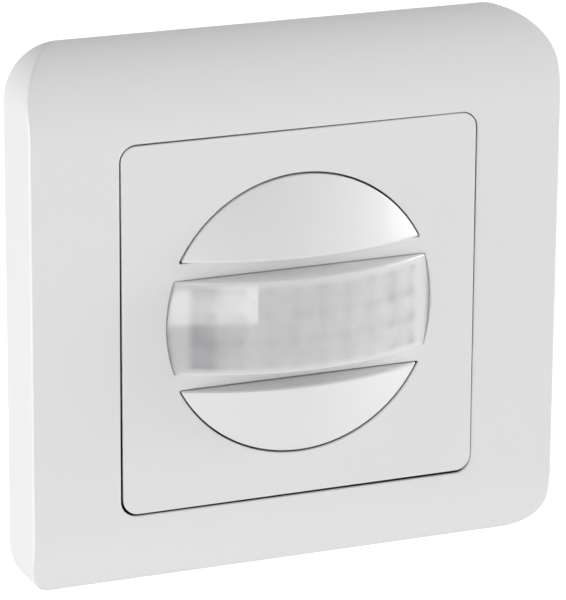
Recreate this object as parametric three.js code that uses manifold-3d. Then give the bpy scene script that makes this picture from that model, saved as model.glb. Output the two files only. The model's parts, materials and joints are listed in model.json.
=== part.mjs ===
// Flush-mounted wall motion sensor: a square cover frame with a centre plate, a curved Fresnel lens between two
// domed caps, the sensor module behind them, and the flush-mounted insert that sits in the wall box.
// Millimetres. +Z is up, the sensor looks along -Y and y = 0 is the wall surface.
import * as THREE from 'three';
import { mergeVertices } from 'three/addons/utils/BufferGeometryUtils.js';
import Module from 'manifold-3d';

const wasm = await Module();
wasm.setup();

// ---- Driving dimensions ----------------------------------------------------------------------------------------
const GAP = 0.3;                 // running or assembly gap between neighbouring pieces
const PAST = 2;                  // how far a cutting body runs past the face it opens

const FRAME_HALF = 41.15;        // half width and half height of the cover frame
const FRAME_CORNER = 8;
const FRAME_DEPTH = 11;          // from the wall surface to the front face
const FRAME_ROLL = 12;           // radius of the rolled top and bottom edges
const FRAME_WALL = 2.2;
const LEDGE_FRONT = -7.9;        // the ledge that the centre plate clamps
const LEDGE_BACK = -6.7;
const LEDGE_HALF = 25.1;
const COLLAR_HALF = 29.3;
const RIB_THICK = 1.2;
const RIB_PLACE = 20;
const RIB_BACK = -3.4;

const PLATE_HALF = 27.5;         // half of the 55 mm centre plate
const PLATE_CORNER = 2.3;
const PLATE_THICK = 2;
const PLATE_SKIRT = 1.2;
const PLATE_FRONT = -FRAME_DEPTH;
const PLATE_BACK = PLATE_FRONT + PLATE_THICK;

const CAP_RADIUS = 20.95;        // circle that the two caps and the lens share
const CAP_CHORD = 9.7;
const CAP_DOME = 5.4;            // height of the dome if it went on to the centre
const CAP_WALL = 1.1;
const CAP_BACK = -6.9;
const CAP_LEG_PLACE = 6;
const CAP_LEG_WIDTH = 2.4;
const CAP_LEG_BACK = -4.9;

const LENS_HALF = 6.95;          // half height of the lens window
const LENS_RADIUS = 20.8;
const LENS_BULGE = 5.6;
const LENS_REACH = 19.7;         // half chord of the lens where it leaves the plate
const LENS_WALL = 1;
const LENS_FLANGE = [21.9, 8.2]; // half length and half height of the flange behind the plate
const LENS_FLANGE_FRONT = PLATE_BACK + GAP;
const LENS_FLANGE_BACK = LENS_FLANGE_FRONT + 0.8;

const HEAD_HALF = 24.5;          // sensor head behind the plate
const HEAD_CORNER = 3;
const HEAD_FRONT = PLATE_BACK + GAP;
const HEAD_BACK = -4.2;
const POCKET_FLOOR_FRONT = -6.4;
const POCKET_FLOOR_BACK = -5.4;
const HEAD_HOLLOW_RADIUS = 20.6;
const APERTURE = [18, 6.2];

const BACK_RADIUS = 22;          // sensor back, a round tray
const BACK_WALL = 1.2;
const BACK_FRONT = HEAD_BACK + GAP;
const BACK_REAR = 2.8;

const BOARD_RADIUS = 20.5;
const BOARD_FRONT = -3.2;
const BOARD_BACK = -2.2;

const DIAL_PLACE = [9.2, 13.4];
const DIAL_RADIUS = 2.3;
const DIAL_FRONT = -7.6;
const TRIMMER_HALF = [3.2, 2.3];
const TRIMMER_FRONT = -5.1;
const SWITCH_TRAVEL = 2.2;       // from the middle place to either end place
const SCREW_PLACE = 16.3;        // module screws, above and below the centre

const HEADER_HALF = [6, 2.3];
const HEADER_BACK = 8.5;

const RING_HALF = 35.5;          // steel mounting ring
const RING_THICK = 1.2;
const RING_OPENING = 22.4;
const BOX_SCREW_RADIUS = 30;     // half of the 60 mm screw spacing of a wall box
const BOX_SLOT_HALF = 1.8;
const RIVET_RADIUS = 27.2;       // circle of the four rivets
const RIVET_SHAFT = 1.1;
const RIVET_HEAD = 1.8;
const EAR_RADIUS = 2.2;          // ears of the rear housing that the rivets hold
const EAR_BACK = 2;

const CLAW_X = 24.5;             // inner face of a claw
const CLAW_THICK = 1.2;
const CLAW_SCREW_X = 26.3;
const CLAW_SCREW_SHAFT = 1.5;
const CLAW_SCREW_BACK = 14;

const HOUSING_RADIUS = 26;       // rear housing
const HOUSING_FLAT = 23.8;
const HOUSING_WALL = 1.5;
const HOUSING_BACK = 30;
const STEP_Z = -10.5;            // below this height the housing is shallower, for the terminals
const STEP_BACK = 19.5;

const COVER_FRONT = 3.4;
const COVER_BACK = 4.6;
const POWER_FRONT = 11.3;
const POWER_BACK = 12.9;
const TERMINAL_PITCH = 8;
const TERMINAL_Z = -15.6;
const TERMINAL_FRONT = 5;
const TERMINAL_BACK = 17.6;

const FINE = 40;                 // segments on large circles
const COARSE = 16;               // segments on small circles
const CORNER_STEPS = 3;          // half of the segments on a rounded corner
const CAP_STEPS = 16;            // half of the segments on a cap's arc
const LENS_STEPS = 16;           // half of the segments across the lens
const DOME_RINGS = 6;

// ---- Materials --------------------------------------------------------------------------------------------------
function finish(color, roughness, metalness = 0) {
  return new THREE.MeshStandardMaterial({ color, roughness, metalness });
}
const WHITE_PLASTIC = finish(0xe9e9ec, 0.3);
const LENS_PLASTIC = finish(0xdadadd, 0.25);
const CARRIER_PLASTIC = finish(0xc9cacc, 0.5);
const DARK_PLASTIC = finish(0x2b2c2e, 0.55);
const GREY_PLASTIC = finish(0x6d7074, 0.55);
const BOARD_GREEN = finish(0x1f5a37, 0.5);
const STEEL = finish(0xb9bcc0, 0.35, 1);
const BRASS = finish(0xb9964e, 0.35, 1);
const DIAL_ORANGE = finish(0xd9772b, 0.5);
const BLUE_PLASTIC = finish(0x2d57a6, 0.5);
const FILM_YELLOW = finish(0xd8b13a, 0.45);
const DARK_WINDOW = finish(0x1b1416, 0.15);
const LED_RED = finish(0xb5302a, 0.2);

// ---- Solids -----------------------------------------------------------------------------------------------------
function signedVolume(positions, indices) {
  let total = 0;
  const corner = (i) => new THREE.Vector3().fromArray(positions, indices[i] * 3);
  for (let i = 0; i < indices.length; i += 3) {
    total += corner(i).dot(corner(i + 1).cross(corner(i + 2))) / 6;
  }
  return total;
}

// A closed three.js geometry as a manifold solid, with its faces turned outwards.
function solid(geometry) {
  const bare = geometry.clone();
  bare.deleteAttribute('normal');
  bare.deleteAttribute('uv');
  const merged = mergeVertices(bare, 1e-4);
  const vertProperties = new Float32Array(merged.attributes.position.array);
  const triVerts = new Uint32Array(merged.index.array);
  if (signedVolume(vertProperties, triVerts) < 0) triVerts.reverse();
  return new wasm.Manifold(new wasm.Mesh({ numProp: 3, vertProperties, triVerts }));
}

function geometryOf(body) {
  const result = body.getMesh();
  const geometry = new THREE.BufferGeometry();
  geometry.setAttribute('position', new THREE.BufferAttribute(result.vertProperties, 3));
  geometry.setIndex(new THREE.BufferAttribute(result.triVerts, 1));
  geometry.computeVertexNormals();
  return geometry;
}

// An outline in X and Z, extruded from the front depth to the back depth along Y.
function slab(shape, front, back, curveSegments = CORNER_STEPS) {
  const geometry = new THREE.ExtrudeGeometry(shape, { depth: back - front, bevelEnabled: false, curveSegments });
  geometry.rotateX(Math.PI / 2);
  geometry.translate(0, back, 0);
  return solid(geometry);
}

// An outline in Y and Z, extruded along X.
function alongX(shape, low, high, curveSegments = CORNER_STEPS) {
  const geometry = new THREE.ExtrudeGeometry(shape, { depth: high - low, bevelEnabled: false, curveSegments });
  const turn = new THREE.Matrix4().makeBasis(
    new THREE.Vector3(0, 1, 0), new THREE.Vector3(0, 0, 1), new THREE.Vector3(1, 0, 0));
  geometry.applyMatrix4(turn);
  geometry.translate(low, 0, 0);
  return solid(geometry);
}

// An outline in X and Y, extruded along Z.
function alongZ(shape, low, high, curveSegments = CORNER_STEPS) {
  const geometry = new THREE.ExtrudeGeometry(shape, { depth: high - low, bevelEnabled: false, curveSegments });
  geometry.translate(0, 0, low);
  return solid(geometry);
}

// A profile of [radius, y] points turned about the Y axis and moved to (x, z).
function turned(points, x = 0, z = 0, segments = COARSE) {
  const profile = points.map(([radius, y]) => new THREE.Vector2(radius, y));
  const geometry = new THREE.LatheGeometry(profile, segments);
  geometry.translate(x, 0, z);
  return solid(geometry);
}

function rod(radius, front, back, x = 0, z = 0, segments = COARSE) {
  return turned([[0, front], [radius, front], [radius, back], [0, back]], x, z, segments);
}

function block(x0, x1, y0, y1, z0, z1) {
  const geometry = new THREE.BoxGeometry(x1 - x0, y1 - y0, z1 - z0);
  geometry.translate((x0 + x1) / 2, (y0 + y1) / 2, (z0 + z1) / 2);
  return solid(geometry);
}

// ---- Outlines ---------------------------------------------------------------------------------------------------
function roundedRectangle(halfWidth, halfHeight, radius) {
  const shape = new THREE.Shape();
  shape.moveTo(halfWidth, -halfHeight + radius);
  shape.absarc(halfWidth - radius, halfHeight - radius, radius, 0, Math.PI / 2);
  shape.absarc(-halfWidth + radius, halfHeight - radius, radius, Math.PI / 2, Math.PI);
  shape.absarc(-halfWidth + radius, -halfHeight + radius, radius, Math.PI, 1.5 * Math.PI);
  shape.absarc(halfWidth - radius, -halfHeight + radius, radius, 1.5 * Math.PI, 2 * Math.PI);
  return shape;
}

function roundedSquare(half, radius) {
  return roundedRectangle(half, half, radius);
}

function disc(radius, x = 0, z = 0) {
  const shape = new THREE.Shape();
  shape.absarc(x, z, radius, 0, 2 * Math.PI);
  return shape;
}

// The part of a circle above a chord, or below it when side is -1.
function segment(radius, chord, side) {
  const start = Math.asin(chord / radius);
  const shape = new THREE.Shape();
  if (side > 0) shape.absarc(0, 0, radius, start, Math.PI - start);
  else shape.absarc(0, 0, radius, Math.PI + start, 2 * Math.PI - start);
  shape.closePath();
  return shape;
}

// The part of a circle between two level chords.
function band(radius, half) {
  const end = Math.asin(half / radius);
  const shape = new THREE.Shape();
  shape.absarc(0, 0, radius, -end, end);
  shape.absarc(0, 0, radius, Math.PI - end, Math.PI + end);
  shape.closePath();
  return shape;
}

// A slot that follows a circle about the origin, with round ends.
function arcSlot(radius, half, from, to) {
  const point = (angle) => [radius * Math.cos(angle), radius * Math.sin(angle)];
  const shape = new THREE.Shape();
  shape.absarc(0, 0, radius + half, from, to);
  shape.absarc(...point(to), half, to, to + Math.PI);
  shape.absarc(0, 0, radius - half, to, from, true);
  shape.absarc(...point(from), half, from + Math.PI, from + 2 * Math.PI);
  return shape;
}

// ---- Front ------------------------------------------------------------------------------------------------------
// The frame without its hollow or opening, made smaller all round by inset.
function rolledBody(inset) {
  const half = FRAME_HALF - inset;
  const radius = FRAME_ROLL - inset;
  const centreY = FRAME_ROLL - FRAME_DEPTH;
  const centreZ = FRAME_HALF - Math.sqrt(FRAME_ROLL ** 2 - centreY ** 2);
  const back = inset > 0 ? centreY : 0;
  const end = Math.asin((centreY - back) / radius);
  const profile = new THREE.Shape();
  profile.absarc(centreY, centreZ, radius, Math.PI, Math.PI / 2 + end, true);
  profile.absarc(centreY, -centreZ, radius, 1.5 * Math.PI - end, Math.PI, true);
  profile.closePath();
  const outline = roundedSquare(half, FRAME_CORNER - inset);
  return alongX(profile, -half, half, 6).intersect(slab(outline, inset - FRAME_DEPTH, back, 6));
}

function coverFrame() {
  const outside = rolledBody(0);
  const ribs = [];
  for (const place of [-RIB_PLACE, RIB_PLACE]) {
    for (const side of [-1, 1]) {
      const low = side > 0 ? COLLAR_HALF - 0.5 : -FRAME_HALF;
      const high = side > 0 ? FRAME_HALF : 0.5 - COLLAR_HALF;
      ribs.push(block(place - RIB_THICK / 2, place + RIB_THICK / 2, -9, RIB_BACK, low, high));
      ribs.push(block(low, high, -9, RIB_BACK, place - RIB_THICK / 2, place + RIB_THICK / 2));
    }
  }
  let frame = outside.subtract(rolledBody(FRAME_WALL));
  frame = frame.add(slab(roundedSquare(COLLAR_HALF, PLATE_CORNER + 2), -FRAME_DEPTH + 0.5, LEDGE_BACK));
  for (const rib of ribs) frame = frame.add(rib.intersect(outside));
  frame = frame.subtract(
    slab(roundedSquare(PLATE_HALF + GAP, PLATE_CORNER + GAP), -FRAME_DEPTH - PAST, LEDGE_FRONT));
  return frame.subtract(slab(roundedSquare(LEDGE_HALF, HEAD_CORNER + GAP), -FRAME_DEPTH, 0));
}

function centrePlate() {
  const outline = roundedSquare(PLATE_HALF, PLATE_CORNER);
  let plate = slab(outline, PLATE_FRONT, LEDGE_FRONT - GAP);
  plate = plate.subtract(slab(roundedSquare(PLATE_HALF - PLATE_SKIRT, 1.5), PLATE_BACK, 0));
  for (const side of [-1, 1]) {
    const opening = segment(CAP_RADIUS + GAP, CAP_CHORD - GAP, side);
    plate = plate.subtract(slab(opening, PLATE_FRONT - PAST, 0, CAP_STEPS));
  }
  return plate.subtract(slab(band(LENS_RADIUS + GAP, LENS_HALF + GAP), PLATE_FRONT - PAST, 0));
}

// The space under the cap's dome, lowered by inset.
function domeBody(radius, inset, back) {
  const points = [];
  for (let i = 0; i <= DOME_RINGS; i += 1) {
    const r = (radius * i) / DOME_RINGS;
    const height = CAP_DOME * (1 - (r / CAP_RADIUS) ** 2);
    points.push([r, PLATE_FRONT - height + inset]);
  }
  points.push([radius, back], [0, back]);
  return turned(points, 0, 0, 4 * CAP_STEPS);
}

function cap(side) {
  const outside = slab(segment(CAP_RADIUS, CAP_CHORD, side), PLATE_FRONT - 2 * CAP_DOME, CAP_BACK, CAP_STEPS);
  const inner = segment(CAP_RADIUS - CAP_WALL, CAP_CHORD + CAP_WALL, side);
  const inside = slab(inner, PLATE_FRONT - 2 * CAP_DOME, 0, CAP_STEPS);
  let body = outside.intersect(domeBody(CAP_RADIUS + 1, 0, CAP_BACK));
  body = body.subtract(inside.intersect(domeBody(CAP_RADIUS + 1, CAP_WALL, 0)));
  for (const place of [-CAP_LEG_PLACE, CAP_LEG_PLACE]) {
    const edges = [side * CAP_CHORD, side * (CAP_CHORD + CAP_WALL)].sort((a, b) => a - b);
    const half = CAP_LEG_WIDTH / 2;
    body = body.add(block(place - half, place + half, CAP_BACK - 1, CAP_LEG_BACK, ...edges));
  }
  return body;
}

// The lens's curved front in X and Y, closed at a back depth.
function lensProfile(inset, reach, back) {
  const radius = (LENS_REACH ** 2 + LENS_BULGE ** 2) / (2 * LENS_BULGE);
  const centre = PLATE_FRONT - LENS_BULGE + radius;
  const end = Math.asin(reach / (radius - inset));
  const shape = new THREE.Shape();
  shape.absarc(0, centre, radius - inset, 1.5 * Math.PI - end, 1.5 * Math.PI + end);
  shape.lineTo(reach, back);
  shape.lineTo(-reach, back);
  shape.closePath();
  return shape;
}

function lens() {
  const window = slab(band(LENS_RADIUS, LENS_HALF), PLATE_FRONT - 2 * LENS_BULGE, LENS_FLANGE_BACK);
  const barrel = alongZ(lensProfile(0, LENS_RADIUS, LENS_FLANGE_BACK), -LENS_HALF, LENS_HALF, LENS_STEPS);
  const hollow = alongZ(lensProfile(LENS_WALL, LENS_REACH - LENS_WALL, 0), LENS_WALL - LENS_HALF,
    LENS_HALF - LENS_WALL, LENS_STEPS);
  const flange = slab(roundedRectangle(...LENS_FLANGE, 1), LENS_FLANGE_FRONT, LENS_FLANGE_BACK);
  return window.intersect(barrel).add(flange).subtract(hollow);
}

// ---- Sensor module ----------------------------------------------------------------------------------------------
const DIALS = [
  ['time', -DIAL_PLACE[0], DIAL_PLACE[1]],
  ['lux', DIAL_PLACE[0], DIAL_PLACE[1]],
  ['sensitivity', -DIAL_PLACE[0], -DIAL_PLACE[1]],
];
const SWITCH_PLACE = [DIAL_PLACE[0] - 1.3, -DIAL_PLACE[1]];

function sensorHead() {
  let head = slab(roundedSquare(HEAD_HALF, HEAD_CORNER), HEAD_FRONT, HEAD_BACK);
  head = head.subtract(rod(HEAD_HOLLOW_RADIUS, POCKET_FLOOR_BACK, 0, 0, 0, FINE));
  for (const side of [-1, 1]) {
    const pocket = segment(CAP_RADIUS + GAP, CAP_CHORD - GAP, side);
    head = head.subtract(slab(pocket, HEAD_FRONT - PAST, POCKET_FLOOR_FRONT, CAP_STEPS));
    head = head.subtract(rod(1.5 + GAP, HEAD_FRONT, 0, 0, side * SCREW_PLACE));
    for (const place of [-CAP_LEG_PLACE, CAP_LEG_PLACE]) {
      const edges = [side * (CAP_CHORD - GAP), side * (CAP_CHORD + CAP_WALL + GAP)].sort((a, b) => a - b);
      const half = CAP_LEG_WIDTH / 2 + GAP;
      head = head.subtract(block(place - half, place + half, HEAD_FRONT, 0, ...edges));
    }
  }
  for (const [, x, z] of DIALS) head = head.subtract(rod(DIAL_RADIUS + GAP, HEAD_FRONT, 0, x, z));
  const slotHalf = SWITCH_TRAVEL + 1.2 + GAP;
  const [sx, sz] = SWITCH_PLACE;
  head = head.subtract(block(sx - slotHalf, sx + slotHalf, HEAD_FRONT, 0, sz - 1.5, sz + 1.5));
  const [flangeX, flangeZ] = LENS_FLANGE;
  head = head.subtract(slab(roundedRectangle(flangeX + GAP, flangeZ + GAP, 1.2), HEAD_FRONT - PAST,
    LENS_FLANGE_BACK + GAP));
  return head.subtract(slab(roundedRectangle(...APERTURE, 1), HEAD_FRONT, 0));
}

function sensorBack() {
  const outside = rod(BACK_RADIUS, BACK_FRONT, BACK_REAR, 0, 0, FINE);
  const inside = rod(BACK_RADIUS - BACK_WALL, BACK_FRONT - PAST, BACK_REAR - BACK_WALL, 0, 0, FINE);
  let tray = outside.subtract(inside);
  for (const side of [-1, 1]) {
    tray = tray.add(rod(2.6, BOARD_BACK + GAP, BACK_REAR - 0.5, 0, side * SCREW_PLACE));
    tray = tray.subtract(rod(1.2 + GAP, BOARD_BACK, 1, 0, side * SCREW_PLACE));
  }
  const [hx, hz] = HEADER_HALF;
  return tray.subtract(block(-hx - GAP, hx + GAP, 0, BACK_REAR + PAST, -hz - GAP, hz + GAP));
}

function sensorBoard() {
  let board = rod(BOARD_RADIUS, BOARD_FRONT, BOARD_BACK, 0, 0, FINE);
  for (const side of [-1, 1]) board = board.subtract(rod(1.5 + GAP, -5, 0, 0, side * SCREW_PLACE));
  return board;
}

function pirCan() {
  const front = BOARD_FRONT - GAP - 4.2;
  const back = BOARD_FRONT - GAP;
  const can = turned([[0, front], [3.9, front], [4.1, front + 0.2], [4.1, back - 0.5], [4.6, back - 0.5],
    [4.6, back], [0, back]]);
  return can.subtract(block(-2.3, 2.3, front - 1, front + 0.7, -1.8, 1.8));
}

function pirWindow() {
  const front = BOARD_FRONT - GAP - 4.2;
  return block(-2, 2, front - 0.1, front + 0.4, -1.5, 1.5);
}

function statusLed() {
  const back = BOARD_FRONT - GAP;
  return turned([[0, back - 3.4], [0.8, back - 3.1], [1.3, back - 2.5], [1.5, back - 1.8], [1.5, back - 0.8],
    [1.8, back - 0.8], [1.8, back], [0, back]], 12, 0);
}

function lightSensor() {
  const back = BOARD_FRONT - GAP;
  const puck = turned([[0, back - 2], [2.3, back - 2], [2.5, back - 1.8], [2.5, back], [0, back]], -12, 0);
  return puck.subtract(block(-13.2, -12.9, back - 3, back - 1.8, -1.6, 1.6));
}

function trimmer(x, z) {
  const back = BOARD_FRONT - GAP;
  const [halfX, halfZ] = TRIMMER_HALF;
  const body = block(x - halfX, x + halfX, TRIMMER_FRONT, back, z - halfZ, z + halfZ);
  return body.subtract(rod(1.2, TRIMMER_FRONT - 1, TRIMMER_FRONT + 0.6, x, z));
}

function dial(x, z) {
  const front = DIAL_FRONT;
  const back = TRIMMER_FRONT - GAP;
  const knob = turned([[0, front], [DIAL_RADIUS - 0.3, front], [DIAL_RADIUS, front + 0.3], [DIAL_RADIUS, back],
    [0, back]], x, z);
  const slot = block(x - 0.4, x + 0.4, front - 1, front + 0.8, z - 1.5, z + 1.5);
  const arrow = block(x - 0.9, x + 0.9, front - 1, front + 0.8, z + 0.9, z + 1.5);
  return knob.subtract(slot).subtract(arrow);
}

function modeSwitchBody() {
  const [x, z] = SWITCH_PLACE;
  const body = block(x - 5, x + 5, TRIMMER_FRONT, BOARD_FRONT - GAP, z - 2.2, z + 2.2);
  return body.subtract(block(x - 3.6, x + 3.6, TRIMMER_FRONT - 1, TRIMMER_FRONT + 0.6, z - 1.2, z + 1.2));
}

function modeSwitchSlider() {
  const [x, z] = SWITCH_PLACE;
  const back = TRIMMER_FRONT - GAP;
  let knob = block(x - 1.2, x + 1.2, DIAL_FRONT, back, z - 1.2, z + 1.2);
  for (const place of [-0.6, 0, 0.6]) {
    const groove = block(x + place - 0.12, x + place + 0.12, DIAL_FRONT - 1, DIAL_FRONT + 0.3, z - 2, z + 2);
    knob = knob.subtract(groove);
  }
  return knob;
}

function moduleScrew(z) {
  const head = POCKET_FLOOR_FRONT - GAP;
  const screw = turned([[0, head - 1.3], [1.9, head - 1.3], [2.5, head - 0.8], [2.5, head], [1.2, head],
    [1.2, 0.4], [0.5, 0.9], [0, 0.9]], 0, z);
  return cutCross(screw, head - 1.3, 0, z, 1.5);
}

// A cross recess in a screw head whose front lies at the given depth.
function cutCross(screw, front, x, z, reach) {
  const deep = front + 0.8;
  const level = block(x - reach, x + reach, front - 1, deep, z - 0.25, z + 0.25);
  const upright = block(x - 0.25, x + 0.25, front - 1, deep, z - reach, z + reach);
  return screw.subtract(level).subtract(upright);
}

// ---- Flush-mounted insert ---------------------------------------------------------------------------------------
function rivetPlaces() {
  return [1, 3, 5, 7].map((k) => [
    RIVET_RADIUS * Math.cos((k * Math.PI) / 4),
    RIVET_RADIUS * Math.sin((k * Math.PI) / 4),
  ]);
}

function mountingRing() {
  const degree = Math.PI / 180;
  let ring = slab(roundedSquare(RING_HALF, 6), -RING_THICK, 0);
  ring = ring.subtract(rod(RING_OPENING, -PAST, PAST, 0, 0, FINE));
  const spans = [[76, 104], [256, 284], [13, 30], [150, 167], [193, 210], [330, 347]];
  for (const [from, to] of spans) {
    const slot = arcSlot(BOX_SCREW_RADIUS, BOX_SLOT_HALF, from * degree, to * degree);
    ring = ring.subtract(slab(slot, -PAST, PAST));
  }
  for (const [x, z] of rivetPlaces()) ring = ring.subtract(rod(RIVET_SHAFT + GAP, -PAST, PAST, x, z));
  for (const side of [-1, 1]) {
    ring = ring.subtract(rod(CLAW_SCREW_SHAFT + GAP, -PAST, PAST, side * CLAW_SCREW_X, 0));
  }
  return ring;
}

function rivet(x, z) {
  const front = -RING_THICK - GAP;
  const rear = EAR_BACK + GAP;
  return turned([[0, front - 0.7], [1.2, front - 0.6], [RIVET_HEAD, front], [RIVET_SHAFT, front],
    [RIVET_SHAFT, rear], [RIVET_HEAD, rear], [RIVET_HEAD, rear + 0.6], [0, rear + 0.6]], x, z, 12);
}

function claw(side) {
  const fork = new THREE.Shape();
  const tine = [2.2, 5];
  fork.moveTo(0.6, -tine[1]);
  fork.lineTo(22, -tine[1]);
  fork.lineTo(22, tine[1]);
  fork.lineTo(0.6, tine[1]);
  fork.lineTo(0.6, tine[0]);
  fork.lineTo(15, tine[0]);
  fork.lineTo(15, -tine[0]);
  fork.lineTo(0.6, -tine[0]);
  fork.closePath();
  const faces = [side * CLAW_X, side * (CLAW_X + CLAW_THICK)].sort((a, b) => a - b);
  let body = alongX(fork, ...faces);
  const tooth = new THREE.Shape();
  const inner = side * (CLAW_X + 0.2);
  tooth.moveTo(inner, 19);
  tooth.lineTo(side * (CLAW_X + CLAW_THICK + 1.8), 21.4);
  tooth.lineTo(side * (CLAW_X + CLAW_THICK + 1.2), 22);
  tooth.lineTo(inner, 22);
  tooth.closePath();
  for (const z of [-3.7, 0, 3.7]) body = body.add(alongZ(tooth, z - 1.1, z + 1.1));
  return body;
}

function clawScrew(side) {
  const head = -RING_THICK - GAP;
  const x = side * CLAW_SCREW_X;
  const shaft = CLAW_SCREW_SHAFT;
  const screw = turned([[0, head - 1.8], [2, head - 1.8], [2.5, head - 1.2], [2.5, head], [shaft, head],
    [shaft, CLAW_SCREW_BACK - 0.8], [0.8, CLAW_SCREW_BACK], [0, CLAW_SCREW_BACK]], x, 0);
  return cutCross(screw, head - 1.8, x, 0, 1.6);
}

// The housing's round outline with two flats, extruded, with the shallower step at the bottom.
function housingBody(inset, front, back, stepBack) {
  const flat = HOUSING_FLAT - inset;
  const between = block(-flat, flat, front, back, -30, 30);
  const barrel = rod(HOUSING_RADIUS - inset, front, back, 0, 0, FINE).intersect(between);
  return barrel.subtract(block(-30, 30, stepBack, back + PAST, -30, STEP_Z + inset));
}

function rearHousing() {
  let housing = housingBody(0, GAP, HOUSING_BACK, STEP_BACK);
  for (const [x, z] of rivetPlaces()) housing = housing.add(rod(EAR_RADIUS, GAP, EAR_BACK, x, z));
  const room = housingBody(HOUSING_WALL, -PAST, HOUSING_BACK - HOUSING_WALL, STEP_BACK - HOUSING_WALL);
  housing = housing.subtract(room);
  for (const [x, z] of rivetPlaces()) {
    housing = housing.subtract(rod(RIVET_SHAFT + GAP, -PAST, 4, x, z));
    housing = housing.subtract(rod(RIVET_HEAD + GAP, EAR_BACK, EAR_BACK + 1.2, x, z));
  }
  for (const k of [-1, 0, 1]) housing = housing.subtract(rod(2.3, 15, 25, k * TERMINAL_PITCH, TERMINAL_Z));
  for (const k of [-2, -1, 0, 1, 2]) housing = housing.subtract(block(k * 5 - 1, k * 5 + 1, 25, 35, 2, 12));
  return housing;
}

function insertCover() {
  const inset = HOUSING_WALL + GAP;
  const flat = HOUSING_FLAT - inset;
  let cover = rod(HOUSING_RADIUS - inset, COVER_FRONT, COVER_BACK, 0, 0, FINE);
  cover = cover.intersect(block(-flat, flat, COVER_FRONT, COVER_BACK, -30, 30));
  for (const k of [-1, 0, 1]) cover = cover.subtract(rod(2.4, 0, 10, k * TERMINAL_PITCH, TERMINAL_Z));
  const [hx, hz] = HEADER_HALF;
  return cover.subtract(block(-hx - GAP, hx + GAP, 0, 10, -hz - GAP, hz + GAP));
}

function headerSocket() {
  const [hx, hz] = HEADER_HALF;
  const socket = block(-hx - 1.5, hx + 1.5, COVER_BACK + GAP, POWER_FRONT - GAP, -hz - 1.5, hz + 1.5);
  return socket.subtract(block(-hx - GAP, hx + GAP, 0, HEADER_BACK + GAP, -hz - GAP, hz + GAP));
}

function headerPlug() {
  const [hx, hz] = HEADER_HALF;
  return block(-hx, hx, BOARD_BACK + GAP, HEADER_BACK, -hz, hz);
}

function powerBoard() {
  const radius = HOUSING_RADIUS - HOUSING_WALL - 2 * GAP;
  const flat = HOUSING_FLAT - HOUSING_WALL - 2 * GAP;
  const board = rod(radius, POWER_FRONT, POWER_BACK, 0, 0, FINE);
  return board.intersect(block(-flat, flat, 0, 20, -10.4, 30));
}

function smoothingCapacitor() {
  const y = POWER_BACK + GAP;
  return turned([[0, y], [3.7, y], [4, y + 0.5], [4, y + 1.4], [3.7, y + 1.8], [4, y + 2.2], [4, y + 12.6],
    [3.7, y + 13], [0, y + 13]], 6, 4.5);
}

function varistor() {
  const geometry = new THREE.CylinderGeometry(4.5, 4.5, 3.4, COARSE);
  geometry.rotateZ(Math.PI / 2);
  geometry.translate(15, POWER_BACK + GAP + 4.6, 5.5);
  return solid(geometry);
}

function fuse() {
  const geometry = new THREE.CylinderGeometry(2.4, 2.4, 16, COARSE);
  geometry.rotateZ(Math.PI / 2);
  geometry.translate(0, POWER_FRONT - GAP - 2.5, 13);
  return solid(geometry);
}

function suppressionChoke() {
  const y = POWER_BACK + GAP;
  return turned([[0, y], [4.8, y], [4.8, y + 1], [3.6, y + 1], [3.6, y + 8], [4.8, y + 8], [4.8, y + 9], [0, y + 9]],
    2, 16.8);
}

function terminalBlock() {
  let body = block(-12.5, 12.5, TERMINAL_FRONT, TERMINAL_BACK, -20.4, -11);
  for (const k of [-1, 0, 1]) {
    const x = k * TERMINAL_PITCH;
    body = body.subtract(rod(2.4, 0, 9, x, TERMINAL_Z));
    body = body.subtract(block(x - 3.1, x + 3.1, 9 - GAP, 15.5, TERMINAL_Z - 3.1, TERMINAL_Z + 3.1));
    body = body.subtract(rod(2, 15, 20, x, TERMINAL_Z));
  }
  return body.subtract(block(-12, 12, 9, 15.2, -12.8, -10));
}

function terminalPillar(x) {
  const pillar = block(x - 2.8, x + 2.8, 9.2, 15.2, TERMINAL_Z - 2.8, TERMINAL_Z + 2.8);
  const screwHole = rod(1.7, 8, 12.6, x, TERMINAL_Z);
  return pillar.subtract(screwHole).subtract(rod(1.9, 12.4, 16, x, TERMINAL_Z));
}

function terminalScrew(x) {
  const front = TERMINAL_FRONT + 0.4;
  const screw = turned([[0, front], [1.8, front], [2, front + 0.3], [2, front + 1.6], [1.3, front + 1.6],
    [1.3, 12], [0.8, 12.4], [0, 12.4]], x, TERMINAL_Z);
  return screw.subtract(block(x - 2.5, x + 2.5, front - 1, front + 0.9, TERMINAL_Z - 0.3, TERMINAL_Z + 0.3));
}

// ---- Assembly ---------------------------------------------------------------------------------------------------
const assembly = new THREE.Group();

function place(name, body, material) {
  const mesh = new THREE.Mesh(geometryOf(body), material);
  mesh.name = name;
  assembly.add(mesh);
}

place('cover_frame', coverFrame(), WHITE_PLASTIC);
place('centre_plate', centrePlate(), WHITE_PLASTIC);
place('upper_cap', cap(1), WHITE_PLASTIC);
place('lower_cap', cap(-1), WHITE_PLASTIC);
place('lens', lens(), LENS_PLASTIC);

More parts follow.
